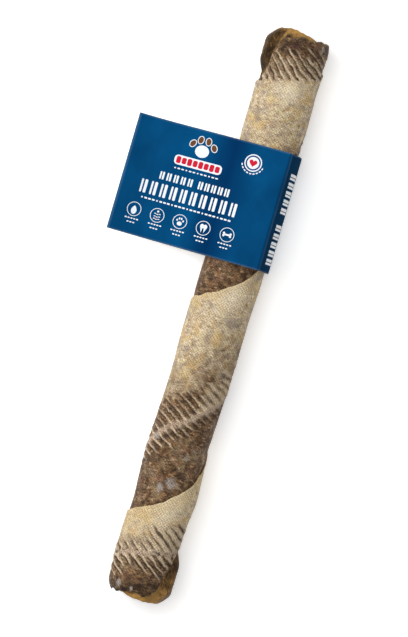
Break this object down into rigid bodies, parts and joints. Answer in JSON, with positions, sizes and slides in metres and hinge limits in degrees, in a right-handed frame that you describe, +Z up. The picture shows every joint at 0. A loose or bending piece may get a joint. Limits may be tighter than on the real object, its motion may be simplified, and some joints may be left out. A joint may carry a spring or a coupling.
{
  "type": "rolled fish-skin chew stick",
  "caption": "Dried fish skins rolled into a straight chew stick, with a folded card label that slides along it and off one end.",
  "frame": {"origin": "bottom centre of the whole object's box, on the surface that it lies on; the stick's axis runs along Y at X = +33.5 mm", "axes": "+Y along the stick towards the end that the label comes off over, +Z up through the label's front, +X from the label's flag towards its spine"},
  "size_m": [0.1139, 0.4, 0.0546],
  "materials": {
    "fish_skin_wrap": "dried skin, cream to dark brown, fine scale grain, half matte",
    "fish_skin_liner": "dried inner skin, golden brown, slightly glossy",
    "fish_skin_core": "dried skin, brown, matte",
    "printed_card": "coated card printed blue outside, white inside",
    "adhesive_tape": "double-sided tape, matte"
  },
  "bodies": {
    "stick": {"wrap_skin_top": "fish_skin_wrap", "wrap_skin_upper": "fish_skin_wrap", "wrap_skin_middle": "fish_skin_wrap", "wrap_skin_bottom": "fish_skin_wrap", "liner_skin": "fish_skin_liner", "core_skin_1": "fish_skin_core", "core_skin_2": "fish_skin_core", "core_skin_3": "fish_skin_core", "core_skin_4": "fish_skin_core"},
    "label": {"label_card": "printed_card", "adhesive_strip": "adhesive_tape"}
  },
  "joints": [
    {"name": "label_slide", "type": "slide", "parent": "stick", "child": "label", "axis": [0, 1, 0], "range_m": [-0.18, 0.17]}
  ]
}
